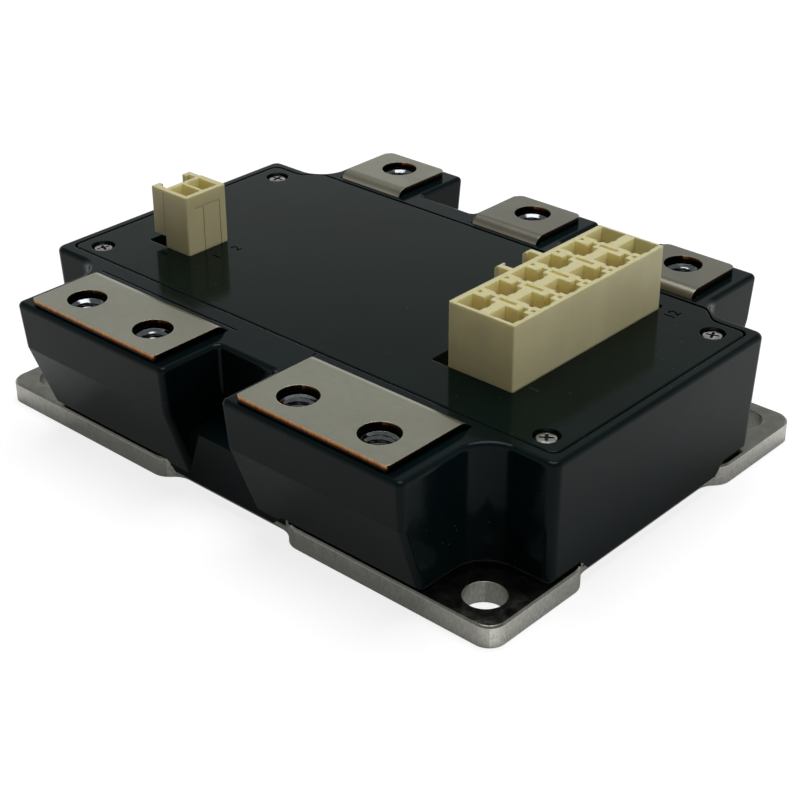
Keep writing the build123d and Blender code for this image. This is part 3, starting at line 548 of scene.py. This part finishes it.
def nut_mesh():
    """Hexagon nut with chamfered corners and a cut helical thread, its top at height zero."""
    bm = bmesh.new()
    full = NUT_FLATS / math.sqrt(3.0)
    cut = full - NUT_CORNER_CUT
    outline = (
        (0.0, cut),
        (-NUT_CHAMFER, full),
        (-NUT_HEIGHT + NUT_CHAMFER, full),
        (-NUT_HEIGHT, cut),
    )
    outside = [ring(bm, z, lambda a: min(hexagon_radius(a), limit)) for z, limit in outline]
    depth = NUT_HEIGHT - 2.0 * THREAD_START
    heights = [-THREAD_START - depth * step / THREAD_STEPS for step in range(THREAD_STEPS + 1)]
    bore = [ring(bm, z, lambda a: thread_radius(a, z)) for z in heights]
    top, bottom = [ring(bm, z, lambda a: NUT_MOUTH_RADIUS) for z in (0.0, -NUT_HEIGHT)]
    chain = [top] + outside + [bottom] + bore[::-1] + [top]
    for a, b in zip(chain, chain[1:]):
        for i in range(NUT_SEGMENTS):
            k = (i + 1) % NUT_SEGMENTS
            bm.faces.new((a[i], b[i], b[k], a[k]))
    bmesh.ops.recalc_face_normals(bm, faces=bm.faces)
    mesh = bpy.data.meshes.new("nut")
    bm.to_mesh(mesh)
    bm.free()
    return mesh


def nut_spots():
    """Middle of each nut in metres, from the record's threaded holes."""
    holes = [m for m in frame["record"]["mounts"] if m["kind"] == "threaded_hole"]
    return [m["pos_m"][:2] for m in holes]


def add_nuts():
    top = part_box("terminal_nuts")[1].z
    one = nut_mesh()
    bm = bmesh.new()
    for index, (x, y) in enumerate(nut_spots()):
        copy = one.copy()
        turn = Matrix.Rotation(math.radians(60.0 * index), 4, "Z")
        copy.transform(Matrix.Translation((x, y, top)) @ turn)
        bm.from_mesh(copy)
        bpy.data.meshes.remove(copy)
    mesh = bpy.data.meshes.new("threaded_nuts")
    bm.to_mesh(mesh)
    bm.free()
    # Painted shade: the nut steel is given a dark tone for the shade inside the terminal holes.
    steel = bright_metal("nut_steel", (0.20, 0.21, 0.22), 0.09, 0.1)
    piece = new_piece("threaded_nuts", mesh, steel)
    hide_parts("terminal_nuts")


def numeral(name, text, x, y, size, material):
    """A thin numeral that lies on the lid and reads from the near end. Values in millimetres."""
    thickness = 0.015
    lift = 0.012
    data = bpy.data.curves.new(name, "FONT")
    data.body = text
    data.size = size * MM
    data.extrude = thickness * MM
    data.align_x = "CENTER"
    data.align_y = "CENTER"
    data.resolution_u = 3
    temp = bpy.data.objects.new(name + "_text", data)
    bpy.context.scene.collection.objects.link(temp)
    bpy.context.view_layer.update()
    mesh = bpy.data.meshes.new_from_object(temp)
    bpy.data.objects.remove(temp)
    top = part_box("case_frame")[1].z
    place = Matrix.Translation((x * MM, y * MM, top + lift * MM))
    mesh.transform(place @ Matrix.Rotation(math.radians(90.0), 4, "Z"))
    new_piece(name, mesh, material)


def add_numerals():
    """The first and last contact of each header, beside its +X face."""
    matte = mark_black("lid_mark", 0.0)
    satin = mark_black("lid_mark_satin", 0.5)
    low, high = [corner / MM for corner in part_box("signal_header")]
    numeral("mark_header_first", "1", high.x + 2.2, low.y + 3.1, 3.2, satin)
    numeral("mark_header_last", "12", high.x + 3.4, high.y - 0.8, 3.2, matte)
    low, high = [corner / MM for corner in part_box("sense_header")]
    numeral("mark_sense_first", "1", high.x + 4.2, low.y + 3.2, 3.0, matte)
    numeral("mark_sense_second", "2", high.x + 4.2, high.y - 1.7, 3.0, matte)


# Nodes of the floor and the sky
def emptied_tree(owner):
    owner.use_nodes = True
    owner.node_tree.nodes.clear()
    return owner.node_tree


def larger(nt, a, b):
    n = nt.nodes.new("ShaderNodeMath")
    n.operation = "MAXIMUM"
    nt.links.new(a, n.inputs[0])
    nt.links.new(b, n.inputs[1])
    return n.outputs[0]


def map_range(nt, value, low, high, at_low, at_high):
    n = nt.nodes.new("ShaderNodeMapRange")
    nt.links.new(value, n.inputs["Value"])
    n.inputs["From Min"].default_value = low
    n.inputs["From Max"].default_value = high
    n.inputs["To Min"].default_value = at_low
    n.inputs["To Max"].default_value = at_high
    return n.outputs["Result"]


def mix_shaders(nt, fac, a, b):
    n = nt.nodes.new("ShaderNodeMixShader")
    nt.links.new(fac, n.inputs[0])
    nt.links.new(a, n.inputs[1])
    nt.links.new(b, n.inputs[2])
    return n.outputs[0]


def diffuse(nt, grey):
    n = nt.nodes.new("ShaderNodeBsdfDiffuse")
    n.inputs["Color"].default_value = (grey, grey, grey, 1.0)
    return n.outputs[0]


def seen_rays(nt, path):
    """1 for rays from the camera, mirrored rays and rays through clear matter, 0 for the rest."""
    shiny = larger(nt, path.outputs["Is Glossy Ray"], path.outputs["Is Transmission Ray"])
    return larger(nt, path.outputs["Is Camera Ray"], shiny)


def floor_glow(nt, path):
    """An even glow for the camera. In mirrors the glow fades near the part, a painted shadow that keeps
    its foot dark.
    """
    even = 0.8
    near = nt.nodes.new("ShaderNodeAmbientOcclusion")
    near.samples = 8
    near.inputs["Distance"].default_value = 0.10
    # Painted shadow: ambient occlusion dims the glow that mirrors see near the part.
    mirror_painted_shadow = map_range(nt, near.outputs["AO"], 0.66, 0.96, 0.12, even)
    strength = nt.nodes.new("ShaderNodeMix")
    nt.links.new(path.outputs["Is Camera Ray"], strength.inputs[0])
    nt.links.new(mirror_painted_shadow, strength.inputs[2])
    strength.inputs[3].default_value = even
    glow = nt.nodes.new("ShaderNodeEmission")
    nt.links.new(strength.outputs[0], glow.inputs["Strength"])
    return glow.outputs[0]


def floor_white():
    material = bpy.data.materials.new("floor_white")
    nt = emptied_tree(material)
    path = nt.nodes.new("ShaderNodeLightPath")
    both = nt.nodes.new("ShaderNodeAddShader")
    nt.links.new(diffuse(nt, 0.3), both.inputs[0])
    nt.links.new(floor_glow(nt, path), both.inputs[1])
    surface = mix_shaders(nt, seen_rays(nt, path), diffuse(nt, 0.5), both.outputs[0])
    out = nt.nodes.new("ShaderNodeOutputMaterial")
    nt.links.new(surface, out.inputs["Surface"])
    return material


def add_floor():
    h = FLOOR_HALF
    mesh = bpy.data.meshes.new("floor")
    mesh.from_pydata([(-h, -h, 0), (h, -h, 0), (h, h, 0), (-h, h, 0)], [], [(0, 1, 2, 3)])
    mesh.materials.append(floor_white())
    floor = bpy.data.objects.new("floor", mesh)
    bpy.context.scene.collection.objects.link(floor)
    floor.location.z = -FLOOR_DROP


def sky_colour(nt):
    """White at the horizon and grey overhead."""
    place = nt.nodes.new("ShaderNodeTexCoord")
    split = nt.nodes.new("ShaderNodeSeparateXYZ")
    nt.links.new(place.outputs["Generated"], split.inputs[0])
    sky = nt.nodes.new("ShaderNodeValToRGB")
    sky.color_ramp.elements[0].color = (1.0, 1.0, 1.0, 1.0)
    sky.color_ramp.elements[1].color = (0.33, 0.345, 0.34, 1.0)
    nt.links.new(map_range(nt, split.outputs[2], 0.10, 0.60, 0.0, 1.0), sky.inputs["Fac"])
    return sky.outputs[0]


def add_sky():
    world = bpy.data.worlds.new("studio")
    bpy.context.scene.world = world
    nt = emptied_tree(world)
    backdrop = nt.nodes.new("ShaderNodeBackground")
    nt.links.new(sky_colour(nt), backdrop.inputs["Color"])
    ambient = nt.nodes.new("ShaderNodeBackground")
    ambient.inputs["Strength"].default_value = 0.16
    path = nt.nodes.new("ShaderNodeLightPath")
    surface = mix_shaders(nt, seen_rays(nt, path), ambient.outputs[0], backdrop.outputs[0])
    out = nt.nodes.new("ShaderNodeOutputWorld")
    nt.links.new(surface, out.inputs["Surface"])


def light(name, place, size, watts, in_mirrors):
    data = bpy.data.lights.new(name, "AREA")
    data.shape = "DISK"
    data.size = size
    data.energy = watts
    lamp = bpy.data.objects.new(name, data)
    bpy.context.scene.collection.objects.link(lamp)
    lamp.location = place
    lamp.rotation_euler = (Vector(LIGHT_AIM) - Vector(place)).to_track_quat("-Z", "Y").to_euler()
    lamp.visible_glossy = in_mirrors


def add_lights():
    light("key", (-0.05, 0.10, 0.90), 0.7, 5.8, True)
    light("side", (0.85, 0.05, 0.35), 0.5, 1.6, False)
    light("rim", (-0.30, 0.70, 0.35), 0.35, 0.8, False)


make_camera()
dress_outside()
dress_inside()
add_nuts()
add_numerals()
add_floor()
add_sky()
add_lights()
bpy.context.scene.view_settings.view_transform = "Standard"
